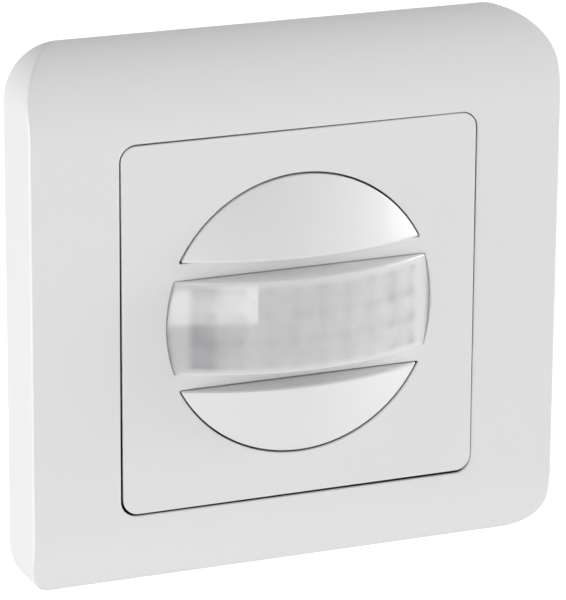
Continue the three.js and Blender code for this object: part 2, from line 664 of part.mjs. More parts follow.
place('sensor_head', sensorHead(), CARRIER_PLASTIC);
place('sensor_back', sensorBack(), CARRIER_PLASTIC);
place('sensor_board', sensorBoard(), BOARD_GREEN);
place('pir_can', pirCan(), STEEL);
place('pir_window', pirWindow(), DARK_WINDOW);
place('light_sensor', lightSensor(), DARK_WINDOW);
place('status_led', statusLed(), LED_RED);
for (const [name, x, z] of DIALS) {
  place(`${name}_trimmer`, trimmer(x, z), BLUE_PLASTIC);
  place(`${name}_dial`, dial(x, z), DIAL_ORANGE);
}
place('mode_switch_body', modeSwitchBody(), DARK_PLASTIC);
place('mode_switch_slider', modeSwitchSlider(), DIAL_ORANGE);
place('signal_chip', block(-14, -9, BOARD_BACK + GAP, -0.7, -2, 2), DARK_PLASTIC);
place('filter_capacitor', rod(2, BOARD_BACK + GAP, 1.2, 13, 6), STEEL);
place('header_plug', headerPlug(), DARK_PLASTIC);
place('module_screw_upper', moduleScrew(SCREW_PLACE), STEEL);
place('module_screw_lower', moduleScrew(-SCREW_PLACE), STEEL);

place('mounting_ring', mountingRing(), STEEL);
rivetPlaces().forEach(([x, z], index) => place(`housing_rivet_${index + 1}`, rivet(x, z), STEEL));
for (const [name, side] of [['left', -1], ['right', 1]]) {
  place(`claw_${name}`, claw(side), STEEL);
  place(`claw_screw_${name}`, clawScrew(side), STEEL);
}
place('rear_housing', rearHousing(), GREY_PLASTIC);
place('insert_cover', insertCover(), DARK_PLASTIC);
place('header_socket', headerSocket(), DARK_PLASTIC);
place('power_board', powerBoard(), BOARD_GREEN);
const BEHIND_BOARD = POWER_BACK + GAP;
place('relay', block(-19, -3, BEHIND_BOARD, 28, -8.4, 10.6), BLUE_PLASTIC);
place('film_capacitor', block(0.5, 18.5, BEHIND_BOARD, 25, -8.2, -1.2), FILM_YELLOW);
place('smoothing_capacitor', smoothingCapacitor(), DARK_PLASTIC);
place('varistor', varistor(), BLUE_PLASTIC);
place('suppression_choke', suppressionChoke(), BRASS);
place('rectifier', block(-3.2, 3.2, POWER_FRONT - GAP - 3, POWER_FRONT - GAP, 17, 21), DARK_PLASTIC);
place('fuse', fuse(), STEEL);
place('terminal_block', terminalBlock(), CARRIER_PLASTIC);
[-1, 0, 1].forEach((k, index) => {
  place(`terminal_pillar_${index + 1}`, terminalPillar(k * TERMINAL_PITCH), BRASS);
  place(`terminal_screw_${index + 1}`, terminalScrew(k * TERMINAL_PITCH), STEEL);
});

export default assembly;
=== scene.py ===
"""Looks of the flush-mounted wall motion sensor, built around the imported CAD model.

Metres, +Z up, the sensor looks along -Y and y = 0 is the wall surface. Shape values below are
millimetres in the same frame, and mesh code multiplies them by MM once, when it makes a mesh.
"""
import json
import math

import bmesh
import bpy
from mathutils import Matrix, Vector

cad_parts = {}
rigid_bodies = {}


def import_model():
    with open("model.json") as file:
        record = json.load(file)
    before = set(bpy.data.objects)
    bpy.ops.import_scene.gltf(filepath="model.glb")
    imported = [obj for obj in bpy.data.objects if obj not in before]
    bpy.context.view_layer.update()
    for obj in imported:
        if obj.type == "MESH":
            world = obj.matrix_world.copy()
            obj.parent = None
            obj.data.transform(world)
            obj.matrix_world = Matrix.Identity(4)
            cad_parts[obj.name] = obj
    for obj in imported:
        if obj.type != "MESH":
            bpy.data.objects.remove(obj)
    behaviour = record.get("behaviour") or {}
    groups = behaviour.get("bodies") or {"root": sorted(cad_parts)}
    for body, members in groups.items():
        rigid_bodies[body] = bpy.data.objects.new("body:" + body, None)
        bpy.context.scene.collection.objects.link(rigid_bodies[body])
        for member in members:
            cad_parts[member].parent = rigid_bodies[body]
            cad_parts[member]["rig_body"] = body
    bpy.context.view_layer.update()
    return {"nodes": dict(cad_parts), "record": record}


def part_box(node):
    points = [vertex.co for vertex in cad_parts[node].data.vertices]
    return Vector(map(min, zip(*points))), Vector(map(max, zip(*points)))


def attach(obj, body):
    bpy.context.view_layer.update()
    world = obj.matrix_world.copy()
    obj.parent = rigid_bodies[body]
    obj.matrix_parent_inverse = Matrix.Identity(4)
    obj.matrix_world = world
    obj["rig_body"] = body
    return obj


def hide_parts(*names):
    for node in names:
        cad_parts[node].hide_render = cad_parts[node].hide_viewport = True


MM = 0.001
FLOOR_GLOW = 0.330               # what the floor gives off as light, beside its look to the camera
WORLD_GLOW = 0.354
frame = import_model()
NODES = frame["nodes"]

# ---- Driving sizes, read from the frame where it gives them 


def box_mm(node):
    low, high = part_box(node)
    return low / MM, high / MM


frame_low, frame_high = box_mm("cover_frame")

FRAME_HALF = frame_high.x
FRONT = frame_low.y              # the frame's and the plate's common front face
FRAME_CORNER = 8.0
ROLL_RADIUS = 12.0               # rolled top and bottom edges of the frame
FRAME_WALL = 2.2
LEDGE_FRONT = -7.9
LEDGE_BACK = -6.7
LEDGE_HALF = 25.1
COLLAR_HALF = 29.3
RIB_PLACE = 20.0
RIB_THICK = 1.2
RIB_BACK = -3.4
PLATE_HALF = box_mm("centre_plate")[1].x
PLATE_CORNER = 2.3
PLATE_THICK = 2.0
PLATE_GAP = 0.3                  # the CAD model's gap round the plate
PLATE_SKIRT = 1.6
LIP = 0.5                        # depth of the thin lips that meet at a joint
UNDERCUT = 0.55                  # how far the walls behind the lips step back
CAP_HOLE_PLAY = (0.24, 0.22)     # between a cap and its hole, at the arc and at the chord
LENS_HOLE_PLAY = (0.04, 0.05)    # between the lens and its hole, at the ends and along the sides
CAP_RADIUS = 20.95
CAP_CHORD = box_mm("upper_cap")[0].z
CAP_DOME = 5.4
CAP_WALL = 1.1
CAP_BACK = -6.9
CAP_LEG_PLACE = 6.0
CAP_LEG_WIDTH = 2.4
CAP_LEG_BACK = -4.9
LENS_HALF = 6.95
LENS_RADIUS = 20.8
LENS_BULGE = FRONT - box_mm("lens")[0].y
LENS_REACH = 19.7
LENS_WALL = 1.0
FLANGE_REACH = (21.9, 8.2)       # half width and half height of the lens flange
FLANGE_FRONT = -8.7
FLANGE_BACK = -7.9


# ---- Camera ----------------------------------------------
def make_camera():
    azimuth, elevation, roll = math.radians(-22.64), math.radians(17.26), math.radians(-0.4)
    target = Vector((-2.77, FRONT, 2.45)) * MM
    distance = 593.5 * MM
    away = Vector((math.sin(azimuth) * math.cos(elevation), -math.cos(azimuth) * math.cos(elevation),
                   math.sin(elevation)))
    data = bpy.data.cameras.new("camera")
    data.sensor_width = 36.0
    data.lens = 246.7
    camera = bpy.data.objects.new("camera", data)
    camera.rotation_mode = "QUATERNION"
    camera.location = target + away * distance
    turn = (-away).to_track_quat("-Z", "Y").to_matrix() @ Matrix.Rotation(-roll, 3, "Z")
    camera.rotation_quaternion = turn.to_quaternion()
    bpy.context.scene.collection.objects.link(camera)
    bpy.context.scene.camera = camera


# ---- Outlines: lists of (x, z), anticlockwise as seen from the front 
def square_outline(half, corner, side_steps=64, corner_steps=24):
    """A rounded square. Outlines with the same steps match point for point, so rows can join them."""
    points = []
    flat = half - corner
    for quarter in range(4):
        turn = quarter * math.pi / 2
        c, s = math.cos(turn), math.sin(turn)
        local = [(half, -flat + 2 * flat * k / side_steps) for k in range(side_steps)]
        for k in range(corner_steps):
            angle = math.pi / 2 * k / corner_steps
            local.append((flat + corner * math.cos(angle), flat + corner * math.sin(angle)))
        points += [(c * x - s * z, s * x + c * z) for x, z in local]
    return points


def circle_outline(radius, steps=96, x=0.0, z=0.0):
    return [(x + radius * math.cos(2 * math.pi * k / steps), z + radius * math.sin(2 * math.pi * k / steps))
            for k in range(steps)]


def arc_points(x, z, radius, start, end, steps):
    return [(x + radius * math.cos(start + (end - start) * k / steps),
             z + radius * math.sin(start + (end - start) * k / steps)) for k in range(steps)]


def segment_outline(radius, chord, corner, side):
    """The circle segment above a chord with rounded corners, or its mirror image below when side is -1."""
    reach = math.sqrt((radius - corner) ** 2 - (chord + corner) ** 2)
    start = math.atan2(chord + corner, reach)
    points = [(-reach + 2 * reach * k / 80, chord) for k in range(80)]
    points += arc_points(reach, chord + corner, corner, -math.pi / 2, start, 8)
    points += arc_points(0, 0, radius, start, math.pi - start, 140)
    points += arc_points(-reach, chord + corner, corner, math.pi - start, 1.5 * math.pi, 8)
    if side < 0:
        points = [(x, -z) for x, z in reversed(points)]
    return points


def band_outline(radius, half, corner):
    """The part of a circle between two level chords, with rounded corners."""
    reach = math.sqrt((radius - corner) ** 2 - (half - corner) ** 2)
    end = math.atan2(half - corner, reach)
    points = []
    for turn in (0, math.pi):
        c, s = math.cos(turn), math.sin(turn)
        local = arc_points(0, 0, radius, -end, end, 40)
        local += arc_points(reach, half - corner, corner, end, math.pi / 2, 6)
        local += [(reach - 2 * reach * k / 90, half) for k in range(90)]
        local += arc_points(-reach, half - corner, corner, math.pi / 2, math.pi - end, 6)
        points += [(c * x - s * z, s * x + c * z) for x, z in local]
    return points


def offset_outline(points, distance):
    """Moves every point to the left of the direction of travel: inwards on an anticlockwise outline."""
    moved = []
    count = len(points)
    for i in range(count):
        before, here, after = Vector(points[i - 1]), Vector(points[i]), Vector(points[(i + 1) % count])
        a, b = (here - before).normalized(), (after - here).normalized()
        normal = Vector((-a.y - b.y, a.x + b.x))
        scale = max(normal.length / 2, 0.35)
        normal.normalize()
        moved.append(tuple(here + normal * (distance / scale)))
    return moved


# ---- Mesh helpers ----------------------------------------
def quadratic(steps):
    """Steps from 0 to 1 that start fine and grow."""
    return [(k / steps) ** 2 for k in range(steps + 1)]


def both_ends(first, second):
    """Steps from 0 to 1 that are fine at both ends."""
    low = [t / 2 for t in quadratic(first)]
    high = [1 - t / 2 for t in quadratic(second)]
    return low + list(reversed(high))[1:]


def rounding(distance, radius):
    """How far a surface drops at a distance inside an edge with a round of that radius."""
    if radius <= 0 or distance >= radius:
        return 0.0
    return radius - math.sqrt(max(radius ** 2 - (radius - max(distance, 0.0)) ** 2, 0.0))


def mesh_object(name, bm, material, sharp_degrees=35):
    bmesh.ops.recalc_face_normals(bm, faces=bm.faces)
    for face in bm.faces:
        face.smooth = True
    for edge in bm.edges:
        if len(edge.link_faces) == 2 and edge.calc_face_angle(0) > math.radians(sharp_degrees):
            edge.smooth = False
    mesh = bpy.data.meshes.new(name)
    bm.to_mesh(mesh)
    bm.free()
    mesh.materials.append(material)
    made = bpy.data.objects.new(name, mesh)
    bpy.context.scene.collection.objects.link(made)
    return made


def add_rows(bm, rows, closed=False, cap_start=False, cap_end=False):
    """Joins rows of (x, y, z) points, each a closed loop of the same count, with quads."""
    loops = [[bm.verts.new(Vector(p) * MM) for p in row] for row in rows]
    pairs = list(zip(loops, loops[1:]))
    if closed:
        pairs.append((loops[-1], loops[0]))
    for low, high in pairs:
        for i in range(len(low)):
            j = (i + 1) % len(low)
            bm.faces.new((low[i], low[j], high[j], high[i]))
    for wanted, loop in ((cap_start, loops[0]), (cap_end, loops[-1])):
        if wanted:
            middle = bm.verts.new(sum((v.co for v in loop), Vector()) / len(loop))
            for i in range(len(loop)):
                bm.faces.new((loop[i], loop[(i + 1) % len(loop)], middle))
    return loops


def at_depth(outline, y):
    return [(x, y, z) for x, z in outline]


def add_block(bm, low, high):
    size = Vector(high) - Vector(low)
    middle = (Vector(high) + Vector(low)) / 2
    matrix = Matrix.Translation(middle * MM) @ Matrix.Diagonal((*(size * MM), 1))
    bmesh.ops.create_cube(bm, size=1.0, matrix=matrix)


def blocks(*corners):
    """Separate boxes, each given by its lowest and highest corners."""
    bm = bmesh.new()
    for low, high in corners:
        add_block(bm, low, high)
    return bm


def prism(outline, front, back):
    bm = bmesh.new()
    add_rows(bm, [at_depth(outline, front), at_depth(outline, back)], cap_start=True, cap_end=True)
    return bm


def eased(profile, radius, steps=3):
    """A lathe profile of (radius, y) points with its inner corners rounded."""
    points = [profile[0]]
    for before, here, after in zip(profile, profile[1:], profile[2:]):
        before, here, after = Vector(before), Vector(here), Vector(after)
        start = here + (before - here).normalized() * min(radius, (before - here).length * 0.45)
        end = here + (after - here).normalized() * min(radius, (after - here).length * 0.45)
        for k in range(steps + 1):
            t = k / steps
            points.append(tuple(start * (1 - t) ** 2 + here * (2 * t * (1 - t)) + end * t ** 2))
    return points + [profile[-1]]


def turned(profile, x=0.0, z=0.0, steps=64):
    """A solid turned about a line along Y through (x, z), flat at both ends."""
    bm = bmesh.new()
    rows = [at_depth(circle_outline(radius, steps, x, z), y) for radius, y in profile]
    add_rows(bm, rows, cap_start=True, cap_end=True)
    return bm


def moved_to_x(bm, centre):
    """Turns a solid so that its axis along Y lies along X, about a centre."""
    turn = Matrix.Rotation(math.pi / 2, 3, "Z")
    bmesh.ops.rotate(bm, cent=Vector(centre) * MM, matrix=turn, verts=bm.verts)
    return bm


def loose_object(bm):
    bmesh.ops.recalc_face_normals(bm, faces=bm.faces)
    mesh = bpy.data.meshes.new("loose")
    bm.to_mesh(mesh)
    bm.free()
    made = bpy.data.objects.new("loose", mesh)
    bpy.context.scene.collection.objects.link(made)
    return made


def carved(bm, tool, operation="DIFFERENCE"):
    """Cuts a closed tool out of a closed solid, or joins it on with UNION, and gives the result."""
    base, other = loose_object(bm), loose_object(tool)
    step = base.modifiers.new("carve", "BOOLEAN")
    step.operation, step.object, step.solver = operation, other, "MANIFOLD"
    made = base.evaluated_get(bpy.context.evaluated_depsgraph_get())
    result = bmesh.new()
    result.from_mesh(made.to_mesh())
    made.to_mesh_clear()
    for used in (base, other):
        mesh = used.data
        bpy.data.objects.remove(used)
        bpy.data.meshes.remove(mesh)
    return result


def evenly_shaded(piece):
    """Lets the large faces set the shading, so that flat faces stay flat beside their rounded edges."""
    piece.modifiers.new("normals", "WEIGHTED_NORMAL").keep_sharp = True
    return piece


def softened(bm, width):
    """Merges flat faces and rounds every sharp edge."""
    bmesh.ops.remove_doubles(bm, verts=bm.verts, dist=1e-6)
    bmesh.ops.dissolve_limit(bm, angle_limit=math.radians(1), verts=bm.verts, edges=bm.edges)
    sharp = [edge for edge in bm.edges
             if len(edge.link_faces) == 2 and edge.calc_face_angle(0) > math.radians(40)]
    bmesh.ops.bevel(bm, geom=sharp, offset=width * MM, offset_type="OFFSET", segments=2, profile=0.5,
                    affect="EDGES", clamp_overlap=False)
    bmesh.ops.remove_doubles(bm, verts=bm.verts, dist=1e-6)
    return bm


# ---- Seating ---------------------------------------------
# Clipped pieces rest to one side of their gaps, always inside the CAD model's clearance.
SEAT_SHIFT = (0.05, 0.1)         # the plate and all it holds, in the frame's opening
SEAT_TURN = math.radians(0.15)
CAP_SHIFT = {1: (0.08, -0.1), -1: (-0.08, -0.1)}     # upper and lower cap: across, away from the lens


# ---- Cover frame -----------------------------------------
ROLL_CENTRE_Y = FRONT + ROLL_RADIUS
ROLL_START = FRAME_HALF - math.sqrt(ROLL_RADIUS ** 2 - (ROLL_CENTRE_Y + 0.3) ** 2)


def rolled_depth(z, inset=0.0):
    """Depth of the frame's front surface at a height, or of a surface parallel to it and inset behind it."""
    past = max(abs(z) - ROLL_START, 0.0)
    radius = ROLL_RADIUS - inset
    return ROLL_CENTRE_Y - math.sqrt(max(radius ** 2 - past ** 2, 0.0))


def inside_square(x, z, half, corner):
    """Distance of a point inside a rounded square from its outline."""
    qx, qz = abs(x) - (half - corner), abs(z) - (half - corner)
    outside = math.hypot(max(qx, 0.0), max(qz, 0.0))
    return corner - outside - min(max(qx, qz), 0.0)


def blend_outlines(a, b, t):
    return [(p[0] + (q[0] - p[0]) * t, p[1] + (q[1] - p[1]) * t) for p, q in zip(a, b)]


def cover_frame(node, material):
    edge_round, mouth_round = 0.32, 0.18
    outer = square_outline(FRAME_HALF, FRAME_CORNER)
    mouth, wide = [square_outline(PLATE_HALF + margin, PLATE_CORNER + margin)
                   for margin in (PLATE_GAP, PLATE_GAP + UNDERCUT)]
    ledge = square_outline(LEDGE_HALF, 3.3)
    collar = square_outline(COLLAR_HALF, PLATE_CORNER + 2)
    inner = square_outline(FRAME_HALF - FRAME_WALL, FRAME_CORNER - FRAME_WALL)

    def edge(z):
        depth = -rolled_depth(z)
        return edge_round * min(1.0, depth / 6) ** 1.5

    def front(x, z):
        y = rolled_depth(z)
        y += rounding(inside_square(x, z, FRAME_HALF, FRAME_CORNER), edge(z))
        outside_mouth = -inside_square(x, z, PLATE_HALF + PLATE_GAP, PLATE_CORNER + PLATE_GAP)
        return y + rounding(outside_mouth, mouth_round)

    rows = [at_depth(offset_outline(outer, 0.2), 0.0)]
    for t in (0.0, 0.03, 0.25, 0.5, 0.75, 0.95):
        rows.append([(x, -0.12 + t * (rolled_depth(z) + edge(z) + 0.12), z) for x, z in outer])
    for t in both_ends(34, 12):
        rows.append([(x, front(x, z), z) for x, z in blend_outlines(outer, mouth, t)])
    rows += [at_depth(mouth, FRONT + LIP), at_depth(wide, FRONT + LIP + 0.1), at_depth(wide, LEDGE_FRONT)]
    rows += [at_depth(ledge, LEDGE_FRONT), at_depth(ledge, LEDGE_BACK), at_depth(collar, LEDGE_BACK)]
    rows.append([(x, rolled_depth(z, FRAME_WALL) + 0.3, z) for x, z in collar])
    for t in both_ends(8, 16)[1:]:
        rows.append([(x, rolled_depth(z, FRAME_WALL), z) for x, z in blend_outlines(collar, inner, t)])
    rows.append(at_depth(inner, 0.0))
    bm = bmesh.new()
    add_rows(bm, rows, closed=True)
    for turn in range(4):
        bm = carved(bm, frame_ribs(turn * math.pi / 2), "UNION")
    return mesh_object(node + "_shell", bm, material)


def frame_ribs(turn):
    """The two stiffening ribs between the collar and one outer wall."""
    bm = bmesh.new()
    level = round(math.sin(turn)) != 0
    low = COLLAR_HALF - 0.3
    high = FRAME_HALF - FRAME_WALL + 0.3
    for place in (-RIB_PLACE, RIB_PLACE):
        reaches = [low + (high - low) * k / 12 for k in range(13)]
        front = [(r, rolled_depth(r if level else 0.0, FRAME_WALL) - 0.3) for r in reaches]
        front = [(r, y) for r, y in front if y < RIB_BACK]
        outline = front + [(front[-1][0], RIB_BACK), (low, RIB_BACK)]
        rows = [[(r, y, place + side * RIB_THICK / 2) for r, y in outline] for side in (-1, 1)]
        add_rows(bm, rows, cap_start=True, cap_end=True)
    bmesh.ops.rotate(bm, cent=(0, 0, 0), matrix=Matrix.Rotation(turn, 3, "Y"), verts=bm.verts)
    return bm


def seated(piece, play=(0.0, 0.0)):
    shift = Vector((SEAT_SHIFT[0] + play[0], 0, SEAT_SHIFT[1] + play[1])) * MM
    piece.data.transform(Matrix.Translation(shift) @ Matrix.Rotation(-SEAT_TURN, 4, "Y"))
    return piece


# ---- Flat moulded pieces ---------------------------------
def clockwise(outline):
    return list(reversed(outline))


def add_pierced_slab(bm, outer, holes, y_front, y_back, front_round, back_round=0.0, undercuts=()):
    """A flat slab between two depths, with rounded edges. outer runs anticlockwise and holes clockwise.

    undercuts says for outer and each hole how far its wall steps back behind the lip.
    """
    steps = 4
    front_edges, back_edges = [], []
    outlines = [outer, *holes]
    for outline, undercut in zip(outlines, undercuts or [0.0] * len(outlines)):
        rows = []
        for k in range(steps + 1):
            angle = math.pi / 2 * k / steps
            inset = front_round * (1 - math.sin(angle))
            depth = y_front + front_round * (1 - math.cos(angle))
            rows.append(at_depth(offset_outline(outline, inset), depth))
        if undercut > 0:
            rows.append(at_depth(outline, y_front + LIP))
            outline = offset_outline(outline, undercut)
            rows.append(at_depth(outline, y_front + LIP + 0.1))
        for k in range(steps + 1):
            angle = math.pi / 2 * (1 - k / steps)
            if back_round > 0 or k == 0:
                inset = back_round * (1 - math.sin(angle))
                depth = y_back - back_round * (1 - math.cos(angle))
                rows.append(at_depth(offset_outline(outline, inset), depth))
        loops = add_rows(bm, rows)
        for loop, edges in ((loops[0], front_edges), (loops[-1], back_edges)):
            edges += [bm.edges.get((loop[i - 1], loop[i])) for i in range(len(loop))]
    for edges, direction in ((front_edges, -1), (back_edges, 1)):
        filled = bmesh.ops.triangle_fill(bm, use_beauty=True, edges=edges, normal=(0, direction, 0))
        for face in filled["geom"]:
            if isinstance(face, bmesh.types.BMFace):
                for edge in face.edges:
                    if edge in edges:
                        edge.smooth = False


def centre_plate(node, material):
    outer = square_outline(PLATE_HALF, PLATE_CORNER, 8, 12)
    inner = square_outline(PLATE_HALF - PLATE_SKIRT, 1.2, 8, 12)
    arc, chord = CAP_RADIUS + CAP_HOLE_PLAY[0], CAP_CHORD - CAP_HOLE_PLAY[1]
    holes = [clockwise(segment_outline(arc, chord, 0.25, side)) for side in (1, -1)]
    radius, half = LENS_RADIUS + LENS_HOLE_PLAY[0], LENS_HALF + LENS_HOLE_PLAY[1]
    holes.append(clockwise(band_outline(radius, half, 0.22)))
    bm = bmesh.new()
    add_pierced_slab(bm, outer, holes, FRONT, FRONT + PLATE_THICK, 0.16,
                     undercuts=(UNDERCUT, UNDERCUT, UNDERCUT, 0.0))
    skirt = bmesh.new()
    add_pierced_slab(skirt, offset_outline(outer, UNDERCUT + 0.02), [clockwise(inner)],
                     FRONT + PLATE_THICK - 0.05, LEDGE_FRONT - 0.3, 0.01)
    return seated(mesh_object(node + "_moulding", joined(bm, skirt), material))


def joined(bm, other):
    """Adds the faces of another bmesh and frees it."""
    extra = bpy.data.meshes.new("extra")
    other.to_mesh(extra)
    other.free()
    bm.from_mesh(extra)
    bpy.data.meshes.remove(extra)
    return bm


# ---- Domed caps ------------------------------------------
def dome_height(x, z):
    return CAP_DOME * (1 - (x * x + z * z) / CAP_RADIUS ** 2)


def towards(outline, centre, t):
    return [(x + (centre[0] - x) * t, z + (centre[1] - z) * t) for x, z in outline]


def cap(node, material):
    side = 1 if box_mm(node)[1].z > 0 else -1
    chord_round, arc_round = 0.4, 0.22
    centre = (0.0, side * (CAP_CHORD + 0.42 * (CAP_RADIUS - CAP_CHORD)))
    outline = segment_outline(CAP_RADIUS, CAP_CHORD, 0.2, side)
    inner = segment_outline(CAP_RADIUS - CAP_WALL, CAP_CHORD + CAP_WALL, 0.3, side)

    def front(x, z):
        y = FRONT - dome_height(x, z)
        y += rounding(abs(z) - CAP_CHORD, chord_round)
        return y + rounding(CAP_RADIUS - math.hypot(x, z), arc_round)

    rows = [[(x, front(x, z), z) for x, z in towards(outline, centre, t)]
            for t in reversed(quadratic(40)[:-1])]
    rows += [[(x, front(x, z) * (1 - s) + (CAP_BACK - 0.2) * s, z) for x, z in outline]
             for s in (0.1, 0.5, 1.0)]
    rows.append(at_depth(offset_outline(outline, 0.2), CAP_BACK))
    rows.append(at_depth(inner, CAP_BACK))
    rows += [[(x, FRONT - dome_height(x, z) + CAP_WALL, z) for x, z in towards(inner, centre, t)]
             for t in quadratic(12)[:-1]]
    bm = bmesh.new()
    add_rows(bm, rows, cap_start=True, cap_end=True)
    edges = sorted([side * CAP_CHORD, side * (CAP_CHORD + CAP_WALL)])
    for place in (-CAP_LEG_PLACE, CAP_LEG_PLACE):
        half = CAP_LEG_WIDTH / 2
        leg = blocks(((place - half, CAP_BACK - 0.6, edges[0]),
                      (place + half, CAP_LEG_BACK, edges[1])))
        bm = carved(bm, softened(leg, 0.2), "UNION")
    across, away = CAP_SHIFT[side]
    return seated(mesh_object(node + "_dome", bm, material), (across, side * away))


# ---- Lens ------------------------------------------------
BARREL_RADIUS = (LENS_REACH ** 2 + LENS_BULGE ** 2) / (2 * LENS_BULGE)
BARREL_CENTRE = FRONT - LENS_BULGE + BARREL_RADIUS


def barrel_depth(x, inset=0.0):
    return BARREL_CENTRE - math.sqrt((BARREL_RADIUS - inset) ** 2 - x * x)


def lens(node, material):
    edge_round = 0.3
    outline = band_outline(LENS_RADIUS, LENS_HALF, 0.2)
    inner = band_outline(LENS_REACH - LENS_WALL, LENS_HALF - LENS_WALL, 0.3)

    def on_flange(x, z):
        scale = min(FLANGE_REACH[0] / max(abs(x), 1e-6), FLANGE_REACH[1] / max(abs(z), 1e-6))
        return x * scale, z * scale

    def front(x, z):
        y = barrel_depth(x)
        y += rounding(LENS_HALF - abs(z), edge_round)
        return y + rounding(LENS_RADIUS - math.hypot(x, z), edge_round)

    flange = [on_flange(x, z) for x, z in outline]
    rows = [[(x, front(x, z), z) for x, z in towards(outline, (0, 0), t)]
            for t in reversed(quadratic(44)[:-1])]
    rows += [[(x, front(x, z) * (1 - s) + FLANGE_FRONT * s, z) for x, z in outline]
             for s in (0.1, 0.5, 1.0)]
    rows += [at_depth(flange, FLANGE_FRONT), at_depth(flange, FLANGE_BACK), at_depth(inner, FLANGE_BACK)]
    rows += [[(x, barrel_depth(x, LENS_WALL), z) for x, z in towards(inner, (0, 0), t)]
             for t in quadratic(20)[:-1]]
    bm = bmesh.new()
    add_rows(bm, rows, cap_start=True, cap_end=True)
    return seated(mesh_object(node + "_window", bm, material))


# ---- Screws, rivets and dials ----------------------------
def thread_rows(radius, pitch, front, back, x, z, steps=32):
    """Rows of a screw thread: a V groove that climbs once a turn, running out at both ends."""
    depth = 0.42 * pitch
    count = max(int((back - front) / pitch * 8), 8)
    rows = []
    for k in range(count + 1):
        y = front + (back - front) * k / count
        fade = min(1.0, (y - front) / pitch, (back - y) / pitch)
        row = []
        for i in range(steps):
            angle = 2 * math.pi * i / steps
            phase = (y / pitch - i / steps) % 1.0
            groove = min(1.0, 1.6 * abs(2 * phase - 1))
            r = radius - depth * fade * (1 - groove)
            row.append((x + r * math.cos(angle), y, z + r * math.sin(angle)))
        rows.append(row)
    return rows


def cross_cutters(front, depth, reach, half, x, z):
    """The two tapered arms of a cross recess."""
    arms = []
    for level in (False, True):
        bm = blocks(((x - reach, front - 0.5, z - half), (x + reach, front + depth, z + half)))
        for vert in bm.verts:
            if vert.co.y > (front + 0.1) * MM:
                vert.co.x = x * MM + (vert.co.x - x * MM) * 0.45
        if level:
            bmesh.ops.rotate(bm, cent=Vector((x, 0, z)) * MM, matrix=Matrix.Rotation(math.pi / 2, 3, "Y"),
                             verts=bm.verts)
        arms.append(bm)
    return arms


def screw(name, head, shaft, thread, x, z, cutters, material):
    """head and shaft are profiles before and after the thread, which is (radius, pitch, front, back)."""
    rows = [at_depth(circle_outline(radius, 32, x, z), y) for radius, y in eased(head, 0.15)]
    rows += thread_rows(*thread, x, z)
    rows += [at_depth(circle_outline(radius, 32, x, z), y) for radius, y in shaft]
    bm = bmesh.new()
    add_rows(bm, rows, cap_start=True, cap_end=True)
    for cutter in cutters:
        bm = carved(bm, cutter)
    return mesh_object(name, bm, material)


def pan_head(front, back, radius):
    """Profile of a low domed head from its front to the plane it clamps."""
    rise = back - front
    dome = [(radius * math.sin(a), back - 0.35 * rise - 0.65 * rise * math.cos(a))
            for a in (0.25, 0.5, 0.75, 1.0, 1.25, 1.5)]
    return [*dome, (radius, back - 0.3 * rise), (radius, back)]


def place_of(node):
    low, high = box_mm(node)
    return (low + high) / 2, low.y, high.y


def cross_screw(node, material, shank, head_height, recess, thread_inset, tip):
    """recess is (depth, reach, half width); thread_inset and tip are measured from the screw's ends."""
    middle, front, back = place_of(node)
    seat = front + head_height
    head = [*pan_head(front, seat, 2.5), (shank, seat)]
    cutters = cross_cutters(front, *recess, middle.x, middle.z)
    thread = (shank, 0.5, seat + thread_inset[0], back - thread_inset[1])
    shaft = [(tip[0], back - tip[1]), (tip[2], back)]
    return screw(node + "_threaded", head, shaft, thread, middle.x, middle.z, cutters, material)


def module_screw(node, material):
    return cross_screw(node, material, 1.2, 1.3, (0.85, 1.5, 0.27), (0.1, 0.5), (1.1, 0.4, 0.5))


def claw_screw(node, material):
    return cross_screw(node, material, 1.5, 1.8, (1.1, 1.6, 0.3), (0.4, 0.8), (1.3, 0.6, 0.8))


def terminal_screw(node, material):
    middle, front, back = place_of(node)
    seat = front + 1.6
    head = [(1.7, front), (2.0, front + 0.3), (2.0, seat), (1.3, seat)]
    slot = blocks(((middle.x - 2.5, front - 1, middle.z - 0.3),
                   (middle.x + 2.5, front + 0.9, middle.z + 0.3)))
    thread = (1.3, 0.5, seat + 0.2, back - 0.5)
    shaft = [(1.1, back - 0.4), (0.8, back)]
    return screw(node + "_threaded", head, shaft, thread, middle.x, middle.z, [slot], material)


def rivet(node, material):
    middle, front, back = place_of(node)
    profile = [*pan_head(front, front + 0.7, 1.8), (1.1, front + 0.7), (1.1, back - 0.6), (1.8, back - 0.6),
               (1.75, back - 0.15), (1.3, back)]
    return mesh_object(node + "_turned", turned(eased(profile, 0.1), middle.x, middle.z, 48), material)


def dial(node, material):
    """An adjuster: a small knob with a screwdriver slot that widens into an arrow head."""
    middle, front, back = place_of(node)
    x, z = middle.x, middle.z
    profile = [(1.9, front), (2.0, front), (2.3, front + 0.3), (2.3, back)]
    bm = turned(eased(profile, 0.12), x, z, 72)
    slot = blocks(((x - 0.4, front - 1, z - 1.5), (x + 0.4, front + 0.8, z + 1.2)))
    arrow = prism([(x + 1.0, z + 0.7), (x, z + 1.85), (x - 1.0, z + 0.7)], front - 1, front + 0.8)
    bm = carved(carved(bm, slot), arrow)
    return mesh_object(node + "_knob", bm, material)


# ---- Flush-mounted insert --------------------------------
def arc_slot(radius, half, start, end):
    """A slot that follows a circle about the centre, with round ends. Angles are degrees."""
    start, end = math.radians(start), math.radians(end)
    points = arc_points(0, 0, radius + half, start, end, 28)
    points += arc_points(radius * math.cos(end), radius * math.sin(end), half, end, end + math.pi, 14)
    points += arc_points(0, 0, radius - half, end, start, 28)
    points += arc_points(radius * math.cos(start), radius * math.sin(start), half, start + math.pi,
                         start + 2 * math.pi, 14)
    return points


